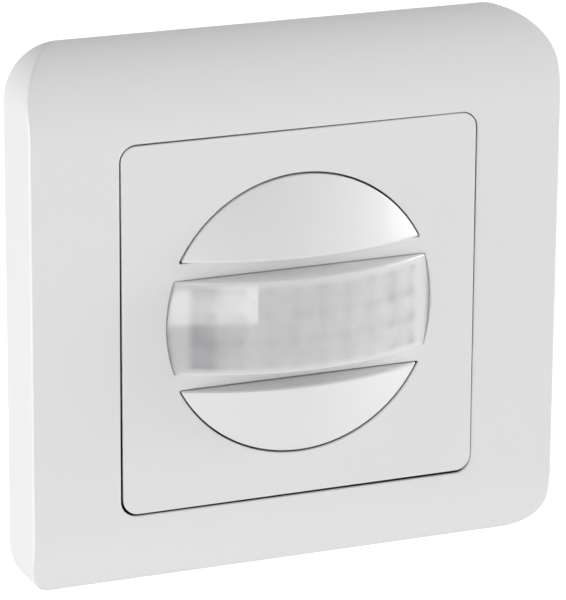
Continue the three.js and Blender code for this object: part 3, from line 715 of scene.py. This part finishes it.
def mounting_ring(node, material):
    low, high = box_mm(node)
    rivets = [place_of(f"housing_rivet_{k}")[0] for k in (1, 2, 3, 4)]
    claws = [place_of(f"claw_screw_{side}")[0] for side in ("left", "right")]
    holes = [circle_outline(22.4, 128)]
    holes += [arc_slot(30, 1.8, *span) for span in
              ((76, 104), (256, 284), (13, 30), (150, 167), (193, 210), (330, 347))]
    holes += [circle_outline(1.4, 32, p.x, p.z) for p in rivets]
    holes += [circle_outline(1.8, 32, p.x, p.z) for p in claws]
    bm = bmesh.new()
    add_pierced_slab(bm, square_outline(high.x, 6, 8, 16), [clockwise(hole) for hole in holes],
                     low.y, high.y, 0.18, 0.06)
    return evenly_shaded(mesh_object(node + "_pressing", bm, material))


def flatted_circle(radius, flat):
    """A circle cut off by two upright flats."""
    start = math.acos(flat / radius)
    return (arc_points(0, 0, radius, start, math.pi - start, 72)
            + arc_points(0, 0, radius, math.pi - start, math.pi + start, 1)
            + arc_points(0, 0, radius, math.pi + start, 2 * math.pi - start, 72)
            + arc_points(0, 0, radius, 2 * math.pi - start, 2 * math.pi + start, 1))


HOUSING_RADIUS = 26.0
HOUSING_FLAT = 23.8
HOUSING_WALL = 1.5
HOUSING_RIM = 0.8                # round where the housing's wall meets its back
HOUSING_STEP = (19.5, -10.5)     # depth and height of the shallower part behind the terminals


def housing_body(inset, front, back, step_back, step_z):
    """The housing's outline with two flats, drawn out to a rounded rim, and its shallower part cut away."""
    outline = flatted_circle(HOUSING_RADIUS - inset, HOUSING_FLAT - inset)
    rows = [at_depth(outline, front)]
    for k in range(6):
        angle = math.pi / 2 * k / 5
        edge = offset_outline(outline, HOUSING_RIM * (1 - math.cos(angle)))
        rows.append(at_depth(edge, back - HOUSING_RIM * (1 - math.sin(angle))))
    bm = bmesh.new()
    add_rows(bm, rows, cap_start=True, cap_end=True)
    return carved(bm, blocks(((-30, step_back, -30), (30, back + 2, step_z + inset))))


def rear_housing(node, material):
    low, high = box_mm(node)
    rivets = [place_of(f"housing_rivet_{k}")[0] for k in (1, 2, 3, 4)]
    wires = [place_of(f"terminal_screw_{k}")[0] for k in (1, 2, 3)]
    step_back, step_z = HOUSING_STEP
    bm = housing_body(0, low.y, high.y, step_back, step_z)
    for p in rivets:
        bm = carved(bm, turned([(2.2, low.y), (2.2, 2.0)], p.x, p.z, 48), "UNION")
    room = housing_body(HOUSING_WALL, -2, high.y - HOUSING_WALL, step_back - HOUSING_WALL, step_z)
    bm = carved(bm, room)
    for p in rivets:
        bm = carved(bm, turned([(1.4, -2), (1.4, 4)], p.x, p.z, 32))
        bm = carved(bm, turned([(2.1, 2), (2.1, 3.2)], p.x, p.z, 32))
    for p in wires:
        bm = carved(bm, turned([(2.3, 15), (2.3, 19.2), (2.8, 19.8), (2.8, 25)], p.x, p.z, 40))
    slots = blocks(*[((k * 5 - 1, 25, 2), (k * 5 + 1, 35, 12)) for k in (-2, -1, 0, 1, 2)])
    return evenly_shaded(mesh_object(node + "_moulding", carved(bm, slots), material))


# ---- Electronics -----------------------------------------
def can(node, material):
    """The detector's drawn metal can with its rim, domed edge and window recess."""
    middle, front, back = place_of(node)
    profile = [(3.7, front), (4.1, front + 0.2), (4.1, back - 0.5), (4.6, back - 0.5), (4.6, back)]
    bm = turned(eased(profile, 0.25, 5), middle.x, middle.z, 96)
    bm = carved(bm, blocks(((-2.3, front - 1, -1.8), (2.3, front + 0.7, 1.8))))
    return mesh_object(node + "_drawn", bm, material)


def led(node, material):
    middle, _, back = place_of(node)
    dome = [(1.5 * math.sin(a), back - 1.9 - 1.5 * math.cos(a))
            for a in (0.2, 0.45, 0.7, 0.95, 1.2, 1.45)]
    profile = [*dome, (1.5, back - 0.8), (1.8, back - 0.7), (1.8, back)]
    return mesh_object(node + "_lens", turned(profile, middle.x, middle.z, 48), material)


def electrolytic(node, material):
    middle, front, back = place_of(node)
    radius = (box_mm(node)[1].x - box_mm(node)[0].x) / 2
    crimp = front + 1.8 if back - front > 8 else front + 0.8
    profile = [(radius - 0.4, front), (radius, front + 0.4), (radius, crimp - 0.4), (radius - 0.35, crimp),
               (radius, crimp + 0.4), (radius, back - 0.4), (radius - 0.4, back),
               (radius - 0.5, back - 0.15)]
    bm = turned(eased(profile, 0.2), middle.x, middle.z, 64)
    reach = radius - 0.8
    for a, b in ((reach, 0.12), (0.12, reach)):
        bm = carved(bm, blocks(((middle.x - a, back - 0.4, middle.z - b),
                                (middle.x + a, back + 1, middle.z + b))))
    return mesh_object(node + "_can", bm, material)


def disc_part(node, material):
    middle = place_of(node)[0]
    low, high = box_mm(node)
    radius, half = (high.z - low.z) / 2, (high.x - low.x) / 2
    rim = [(radius - 1.2, half), (radius - 0.3, half - 0.35), (radius, half - 1.1)]
    profile = [(r, middle.y - y) for r, y in rim] + [(r, middle.y + y) for r, y in reversed(rim)]
    bm = moved_to_x(turned(eased(profile, 0.8, 5), middle.x, middle.z, 64), middle)
    return mesh_object(node + "_disc", bm, material)


def winding(node, material):
    """Enamelled wire wound in level turns, between the flanges of its bobbin."""
    middle, front, back = place_of(node)
    turns = 12
    wire = (back - front - 2.0) / turns
    profile = [(3.4, front + 1.0)]
    for k in range(turns * 6 + 1):
        y = front + 1.0 + wire * k / 6
        profile.append((4.0 + wire * 0.45 * abs(math.sin(math.pi * k / 6)), y))
    profile.append((3.4, back - 1.0))
    flanges = [(4.6, front), (4.8, front + 0.1), (4.8, front + 0.95), (3.3, front + 1.0),
               (3.3, back - 1.0), (4.8, back - 0.95), (4.8, back - 0.1), (4.6, back)]
    bobbin = mesh_object("choke_bobbin", turned(eased(flanges, 0.08), middle.x, middle.z, 64),
                         FINISHES["black_plastic"])
    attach(bobbin, NODES[node]["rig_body"])
    return mesh_object("choke_winding", turned(profile, middle.x, middle.z, 64), material)


def fuse(node, material):
    """A ceramic tube with two plated end caps."""
    middle = place_of(node)[0]
    low, high = box_mm(node)
    half, radius = (high.x - low.x) / 2, (high.z - low.z) / 2
    ceramic_ends = [(radius - 0.25, middle.y - half + 1), (radius - 0.25, middle.y + half - 1)]
    tube = turned(ceramic_ends, middle.x, middle.z, 48)
    ends = bmesh.new()
    for side in (-1, 1):
        profile = [(radius - 0.3, half), (radius, half - 0.3),
                   (radius, half - 4.2), (radius - 0.5, half - 4.3)]
        profile = [(r, middle.y + side * y) for r, y in profile]
        ends = joined(ends, turned(eased(profile, 0.15), middle.x, middle.z, 48))
    ends = mesh_object("fuse_ends", moved_to_x(ends, middle), FINISHES["can_metal"])
    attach(ends, NODES[node]["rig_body"])
    return mesh_object("fuse_tube", moved_to_x(tube, middle), material)


EDGE_ROUND = {
    "relay": 0.5, "film_capacitor": 0.5, "mode_switch_slider": 0.05, "sensor_head": 0.2, "sensor_back": 0.25,
    "claw_left": 0.14, "claw_right": 0.14, "header_plug": 0.3, "header_socket": 0.3,
}
EDGE_ROUND_OTHERS = 0.12


def refined(node, material):
    """A copy of a CAD node with rounded edges."""
    bm = bmesh.new()
    bm.from_mesh(NODES[node].data)
    bm = softened(bm, EDGE_ROUND.get(node, EDGE_ROUND_OTHERS))
    return evenly_shaded(mesh_object(node + "_rounded", bm, material))


# ---- Materials -------------------------------------------
class Nodes:
    """A material with a Principled shader and short calls for wiring nodes to it."""

    def __init__(self, name, **values):
        self.material = bpy.data.materials.new(name)
        self.material.use_nodes = True
        self.tree = self.material.node_tree
        self.shader = self.tree.nodes["Principled BSDF"]
        for socket, value in values.items():
            self.shader.inputs[socket.replace("_", " ")].default_value = value

    def add(self, kind, settings=None, **inputs):
        node = self.tree.nodes.new(kind)
        for key, value in (settings or {}).items():
            setattr(node, key, value)
        for key, value in inputs.items():
            socket = node.inputs[int(key[1:])] if key[0] == "i" and key[1:].isdigit() else node.inputs[key]
            if isinstance(value, bpy.types.NodeSocket):
                self.tree.links.new(value, socket)
            else:
                socket.default_value = value
        return node

    def link(self, output, socket_name):
        self.tree.links.new(output, self.shader.inputs[socket_name])

    def place(self):
        return self.add("ShaderNodeTexCoord").outputs["Object"]

    def axes(self):
        return self.add("ShaderNodeSeparateXYZ", None, Vector=self.place()).outputs

    def noise(self, scale, detail=3.0):
        node = self.add("ShaderNodeTexNoise", None, Vector=self.place(), Scale=scale, Detail=detail)
        return node.outputs["Fac"]

    def ramp(self, value, low, high, at=(0.3, 0.7)):
        node = self.add("ShaderNodeValToRGB", None, Fac=value)
        node.color_ramp.elements[0].position, node.color_ramp.elements[1].position = at
        node.color_ramp.elements[0].color = (*low, 1)
        node.color_ramp.elements[1].color = (*high, 1)
        return node.outputs["Color"]

    def spread(self, value, low, high, span=(0.0, 1.0), interpolation="LINEAR"):
        node = self.add("ShaderNodeMapRange", {"interpolation_type": interpolation}, Value=value)
        node.inputs["From Min"].default_value, node.inputs["From Max"].default_value = span
        node.inputs["To Min"].default_value = low
        node.inputs["To Max"].default_value = high
        return node.outputs["Result"]

    def rise(self, value, start, end, interpolation="LINEAR"):
        """0 up to one place and 1 from the next, both in millimetres."""
        return self.spread(value, 0.0, 1.0, (start * MM, end * MM), interpolation)

    def fall(self, value, start, end, interpolation="LINEAR"):
        return self.spread(value, 1.0, 0.0, (start * MM, end * MM), interpolation)

    def math(self, operation, a, b=0.0):
        return self.add("ShaderNodeMath", {"operation": operation}, i0=a, i1=b).outputs[0]

    def bump(self, height, strength, distance):
        node = self.add("ShaderNodeBump", None, Height=height, Strength=strength, Distance=distance)
        self.link(node.outputs["Normal"], "Normal")


def shade(color, factor):
    return tuple(min(c * factor, 1.0) for c in color)


def moulded(name, color, roughness, grain=900.0, bump=0.05, variation=0.02, **values):
    """Moulded plastic: a faint change of colour, with fine texture in the gloss and in the surface."""
    nodes = Nodes(name, **values)
    tones = shade(color, 1 - variation), shade(color, 1 + variation)
    nodes.link(nodes.ramp(nodes.noise(60.0), *tones), "Base Color")
    nodes.link(nodes.spread(nodes.noise(grain), roughness * 0.85, roughness * 1.15), "Roughness")
    nodes.bump(nodes.noise(grain * 2), bump, 0.0001)
    return nodes.material


WHITE_TONE = (0.94, 0.94, 0.942)


def white_plastic():
    return moulded("white_gloss_plastic", WHITE_TONE, 0.36, variation=0.006, bump=0.01, Coat_Weight=0.3,
                   Coat_Roughness=0.1)


def white_with_painted_shade(name, place_shadow, dark):
    """White plastic with painted shade: it turns to a darker grey where place_shadow(nodes) is 1."""
    nodes = Nodes(name, Coat_Weight=0.3, Coat_Roughness=0.1)
    tone = nodes.math("ADD", place_shadow(nodes), nodes.math("MULTIPLY", nodes.noise(60.0), 0.01))
    nodes.link(nodes.ramp(tone, WHITE_TONE, dark, (0.0, 1.0)), "Base Color")
    nodes.link(nodes.spread(nodes.noise(900.0), 0.306, 0.414), "Roughness")
    nodes.bump(nodes.noise(1800.0), 0.01, 0.0001)
    return nodes.material


def painted_chord_wall_shade(nodes):
    """Painted shade on a cap's straight wall beside the lens."""
    from_lens = nodes.math("ABSOLUTE", nodes.math("SUBTRACT", nodes.axes()["Z"], SEAT_SHIFT[1] * MM))
    return nodes.fall(from_lens, CAP_CHORD + 0.15, CAP_CHORD + 0.3)


def painted_joint_shade(nodes):
    """Painted shade on the hidden walls behind the joints, so that the gaps look dark, but not along the top
    joint or round the lens.
    """
    axes = nodes.axes()
    height = nodes.math("ABSOLUTE", axes["Z"])
    reach = nodes.math("MAXIMUM", nodes.math("ABSOLUTE", axes["X"]), height)
    behind = nodes.rise(axes["Y"], FRONT + LIP, FRONT + LIP + 0.05)
    within = nodes.fall(reach, COLLAR_HALF - 0.5, COLLAR_HALF - 0.3)
    outer_joint = nodes.rise(reach, 23.0, 24.0)
    top_joint = nodes.math("MULTIPLY", nodes.rise(axes["Z"], 12.0, 22.0), outer_joint)
    low = nodes.math("SUBTRACT", 1.0, top_joint)
    past_lens = nodes.rise(nodes.math("MAXIMUM", height, nodes.math("SUBTRACT", reach, 16.0 * MM)), 8.0, 8.4)
    return nodes.math("MULTIPLY", nodes.math("MULTIPLY", behind, within),
                      nodes.math("MULTIPLY", low, past_lens))


def zinc_steel():
    """Bright zinc plating: faint crystal patches and fine wiping marks."""
    nodes = Nodes("zinc_plated_steel", Metallic=1.0)
    patches = nodes.add("ShaderNodeTexVoronoi", None, Vector=nodes.place(), Scale=900.0).outputs["Color"]
    clouds = nodes.math("MULTIPLY", nodes.noise(90.0), 0.7)
    tone = nodes.math("ADD", nodes.math("MULTIPLY", patches, 0.3), clouds)
    nodes.link(nodes.ramp(tone, (0.66, 0.67, 0.69), (0.76, 0.77, 0.78)), "Base Color")
    nodes.link(nodes.spread(nodes.noise(420.0, 5.0), 0.26, 0.36, (0.3, 0.7)), "Roughness")
    nodes.bump(nodes.noise(1500.0), 0.06, 0.0001)
    return nodes.material


def drawn_metal():
    """Satin sheet metal with draw lines along its depth."""
    nodes = Nodes("drawn_can_metal", Metallic=1.0)
    stretched = nodes.add("ShaderNodeMapping", None, Vector=nodes.place(), Scale=(1.0, 0.04, 1.0)).outputs[0]
    lines = nodes.add("ShaderNodeTexNoise", None, Vector=stretched, Scale=2600.0, Detail=2.0).outputs["Fac"]
    nodes.link(nodes.ramp(lines, (0.68, 0.68, 0.69), (0.80, 0.80, 0.81)), "Base Color")
    nodes.link(nodes.spread(lines, 0.25, 0.42), "Roughness")
    nodes.bump(lines, 0.08, 0.0001)
    return nodes.material


def brass():
    nodes = Nodes("plain_brass", Metallic=1.0)
    nodes.link(nodes.ramp(nodes.noise(150.0), (0.62, 0.47, 0.22), (0.78, 0.63, 0.33)), "Base Color")
    nodes.link(nodes.spread(nodes.noise(500.0, 5.0), 0.25, 0.45), "Roughness")
    nodes.bump(nodes.noise(1800.0), 0.05, 0.0001)
    return nodes.material


def copper_wire():
    nodes = Nodes("enamelled_copper", Metallic=1.0, Coat_Weight=0.8, Coat_Roughness=0.12)
    nodes.link(nodes.ramp(nodes.noise(180.0), (0.58, 0.25, 0.10), (0.74, 0.38, 0.19)), "Base Color")
    nodes.link(nodes.spread(nodes.noise(700.0), 0.28, 0.4), "Roughness")
    return nodes.material


def circuit_board():
    """Green solder mask over copper: raised tracks that run in straight lines."""
    nodes = Nodes("green_circuit_board", Coat_Weight=0.4, Coat_Roughness=0.15)
    cells = {"Vector": nodes.place(), "Scale": 230.0}
    near, far = [nodes.add("ShaderNodeTexVoronoi", {"distance": "CHEBYCHEV", "feature": feature},
                           **cells).outputs["Distance"] for feature in ("F1", "F2")]
    between = nodes.math("SUBTRACT", far, near)
    track = nodes.spread(between, 1.0, 0.0, (0.10, 0.16), "SMOOTHSTEP")
    nodes.link(nodes.ramp(track, (0.012, 0.085, 0.035), (0.03, 0.19, 0.075), (0.0, 1.0)), "Base Color")
    nodes.link(nodes.spread(nodes.noise(900.0), 0.3, 0.42), "Roughness")
    nodes.bump(track, 0.4, 0.00003)
    return nodes.material


def tinted_resin():
    nodes = Nodes("red_led_resin", Transmission_Weight=0.55, IOR=1.5)
    nodes.link(nodes.ramp(nodes.noise(300.0), (0.62, 0.05, 0.03), (0.75, 0.09, 0.06)), "Base Color")
    nodes.link(nodes.spread(nodes.noise(900.0), 0.05, 0.12), "Roughness")
    return nodes.material


def ceramic():
    return moulded("fuse_ceramic", (0.78, 0.79, 0.76), 0.3, 600.0, 0.08, 0.03, Coat_Weight=0.5,
                   Coat_Roughness=0.1)


LENS_PITCH = (4.0, 3.9)          # width and height of a Fresnel cell
LENS_GRID = (1.0, 1.8)           # a corner where four cells meet


def near_line(nodes, coordinate, start, pitch, softness):
    """1 on the lines at start plus a whole number of pitches, falling off softly beside them."""
    shifted = nodes.math("SUBTRACT", coordinate, start * MM)
    phase = nodes.math("PINGPONG", nodes.math("ABSOLUTE", shifted), pitch * MM / 2)
    return nodes.fall(phase, 0.0, softness, "SMOOTHSTEP")


def lens_plastic():
    """Milky window: the soft grid of its Fresnel cells shows through from the inside, with painted shade at
    its left end and painted light on its top and bottom walls.
    """
    nodes = Nodes("milky_lens_plastic", Roughness=0.5, Specular_IOR_Level=0.2,
                  Coat_Weight=1.0, Coat_Roughness=0.03, Subsurface_Weight=1.0, Subsurface_Scale=0.003,
                  Subsurface_Radius=(1.0, 1.0, 1.0))
    axes = nodes.axes()
    across = nodes.math("SUBTRACT", axes["X"], SEAT_SHIFT[0] * MM)
    up = nodes.math("SUBTRACT", axes["Z"], SEAT_SHIFT[1] * MM)
    from_middle = nodes.math("ABSOLUTE", up)
    upright = near_line(nodes, across, LENS_GRID[0], LENS_PITCH[0], 1.5)
    level = near_line(nodes, up, LENS_GRID[1], LENS_PITCH[1], 1.3)
    lines = nodes.math("ADD", nodes.math("MULTIPLY", upright, 0.34), nodes.math("MULTIPLY", level, 0.26))
    crossings = nodes.math("MULTIPLY", nodes.math("MULTIPLY", upright, level), 0.25)
    blotch = nodes.spread(nodes.noise(230.0, 1.0), 0.0, 0.45, (0.42, 0.62), "SMOOTHSTEP")
    cells = nodes.math("ADD", nodes.math("ADD", lines, crossings), blotch)
    inside = nodes.math("MULTIPLY",
                        nodes.fall(nodes.math("ABSOLUTE", across), 16.8, 18.5, "SMOOTHSTEP"),
                        nodes.fall(from_middle, 5.6, 6.6, "SMOOTHSTEP"))
    # Painted shade: the lens front darkens towards its left end.
    shaded_end = nodes.fall(across, -17.8, -8.5, "SMOOTHSTEP")
    shadow = nodes.math("MULTIPLY", shaded_end, nodes.spread(inside, 0.37, 0.78))
    # The cells are drawn stronger towards the right, which partly paints shade there.
    strength = nodes.spread(across, 0.26, 0.54, (4.0 * MM, 16.0 * MM), "SMOOTHSTEP")
    contrast = nodes.math("MULTIPLY", inside, strength)
    dark = nodes.math("ADD", nodes.math("ADD", shadow, 0.13), nodes.math("MULTIPLY", contrast, cells))
    # Painted light: the top and bottom walls stay full white, without the front's base grey.
    face = nodes.fall(from_middle, 6.6, 6.9)
    tone = nodes.math("MULTIPLY", dark, face)
    nodes.link(nodes.ramp(tone, (0.99, 0.99, 0.99), (0.46, 0.465, 0.48), (0.0, 1.0)), "Base Color")
    return nodes.material


# ---- Stage and light -------------------------------------
def area_light(name, location, target, size, energy):
    data = bpy.data.lights.new(name, "AREA")
    data.shape = "RECTANGLE"
    data.size, data.size_y = size
    data.energy = energy
    light = bpy.data.objects.new(name, data)
    light.rotation_mode = "QUATERNION"
    light.location = location
    light.rotation_quaternion = (Vector(target) - Vector(location)).to_track_quat("-Z", "Y")
    bpy.context.scene.collection.objects.link(light)


def curved_softbox():
    """A low band of light bent round the lens: its reflection is the bright oblong on the lens's left."""
    radius, panels, start, end = 0.5, 6, -50.0, -5.0
    low, height = -0.153, 0.0098
    step = math.radians(end - start) / panels
    for k in range(panels):
        angle = math.radians(start) + step * (k + 0.5)
        place = Vector((math.sin(angle), -math.cos(angle), 0)) * radius
        place.z = low + height / 2
        width = 2 * radius * math.tan(step / 2)
        area_light(f"softbox_{k + 1}", place, (0, 0, place.z), (width, height), 0.0112)


def make_stage():
    scene = bpy.context.scene
    scene.view_settings.view_transform = "Standard"
    scene.view_settings.look = "None"
    world = bpy.data.worlds.new("studio")
    world.use_nodes = True
    background = world.node_tree.nodes["Background"]
    background.inputs["Color"].default_value = (1, 1, 1, 1)
    background.inputs["Strength"].default_value = WORLD_GLOW
    scene.world = world
    floor_material = Nodes("pale_floor", Roughness=0.9)
    tone = floor_material.ramp(floor_material.noise(3.0), (0.5, 0.5, 0.5), (0.52, 0.52, 0.52))
    floor_material.link(tone, "Base Color")
    seen = floor_material.add("ShaderNodeLightPath").outputs["Is Camera Ray"]
    floor_material.link(floor_material.spread(seen, FLOOR_GLOW, 1.0), "Emission Strength")
    floor_material.shader.inputs["Emission Color"].default_value = (1, 1, 1, 1)
    bm = bmesh.new()
    bmesh.ops.create_grid(bm, x_segments=8, y_segments=8, size=6.0)
    floor = mesh_object("floor", bm, floor_material.material)
    floor.location.z = -0.35
    area_light("left_back", (-1.1, 0.1, -0.2), (0, 0, 0), (0.7, 0.7), 4.98)
    area_light("right_small", (0.85, -0.32, 0.18), (0, 0, 0), (0.35, 0.45), 1.29)
    area_light("right_edge", (0.9, -0.12, 0.2), (0, 0, 0), (0.3, 0.4), 4.17)
    area_light("corner_strip", (-0.66, 0.0, 0.73), (0, 0, 0), (0.5, 0.05), 0.94)
    area_light("front_left", (-0.63, -0.64, 0.03), (0, 0, 0), (0.4, 0.4), 1.81)
    curved_softbox()
    area_light("back", (0.4, 1.2, 0.0), (0, 0, 0), (1.0, 0.6), 3.90)


# ---- Assembly --------------------------------------------
make_camera()
make_stage()
FINISHES = {
    "white_plastic": white_plastic(),
    "lens_plastic": lens_plastic(),
    "carrier_plastic": moulded("light_grey_plastic", (0.62, 0.63, 0.645), 0.48, 700.0, 0.12, 0.03),
    "grey_plastic": moulded("grey_filled_plastic", (0.155, 0.16, 0.172), 0.56, 650.0, 0.25, 0.1),
    "black_plastic": moulded("black_moulded_plastic", (0.022, 0.022, 0.025), 0.45, 700.0, 0.15, 0.15),
    "blue_plastic": moulded("blue_part_plastic", (0.03, 0.10, 0.36), 0.42, 800.0, 0.08, 0.06),
    "orange_plastic": moulded("orange_adjuster_plastic", (0.72, 0.21, 0.03), 0.42, 800.0, 0.08, 0.05),
    "yellow_film": moulded("yellow_film_box", (0.68, 0.43, 0.05), 0.3, 500.0, 0.05, 0.05, Coat_Weight=0.4),
    "dark_window": moulded("dark_filter_window", (0.012, 0.008, 0.010), 0.16, 900.0, 0.01, 0.2,
                           Coat_Weight=0.6),
    "zinc_steel": zinc_steel(),
    "can_metal": drawn_metal(),
    "circuit_board": circuit_board(),
    "led_body": tinted_resin(),
    "fuse_glass": ceramic(),
    "copper_winding": copper_wire(),
    "brass": brass(),
}
# Painted shade: the hidden walls behind the frame's and the plate's joints turn near black.
JOINT_SHADED_WHITE = white_with_painted_shade("white_plastic_painted_joint_shade", painted_joint_shade, (0.12, 0.12, 0.12))
WHITES = {
    "cover_frame": JOINT_SHADED_WHITE,
    "centre_plate": JOINT_SHADED_WHITE,
    # Painted shade on the lower cap's straight wall, which faces the lens.
    "lower_cap": white_with_painted_shade("white_cap_plastic_painted_shade", painted_chord_wall_shade, (0.70, 0.70, 0.705)),
}
NODES_OF_MAKER = {
    cover_frame: "cover_frame", centre_plate: "centre_plate", cap: "upper_cap lower_cap", lens: "lens",
    mounting_ring: "mounting_ring", rear_housing: "rear_housing", can: "pir_can", led: "status_led",
    electrolytic: "smoothing_capacitor filter_capacitor", disc_part: "varistor", fuse: "fuse",
    winding: "suppression_choke", dial: "time_dial lux_dial sensitivity_dial",
    module_screw: "module_screw_upper module_screw_lower", claw_screw: "claw_screw_left claw_screw_right",
    terminal_screw: "terminal_screw_1 terminal_screw_2 terminal_screw_3",
    rivet: "housing_rivet_1 housing_rivet_2 housing_rivet_3 housing_rivet_4",
}
MAKERS = {name: maker for maker, names in NODES_OF_MAKER.items() for name in names.split()}
for part in frame["record"]["subparts"]:
    node, slot = part["node"], part["material_slot"]
    piece = MAKERS.get(node, refined)(node, WHITES.get(node, FINISHES[slot]))
    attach(piece, NODES[node]["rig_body"])
    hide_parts(node)
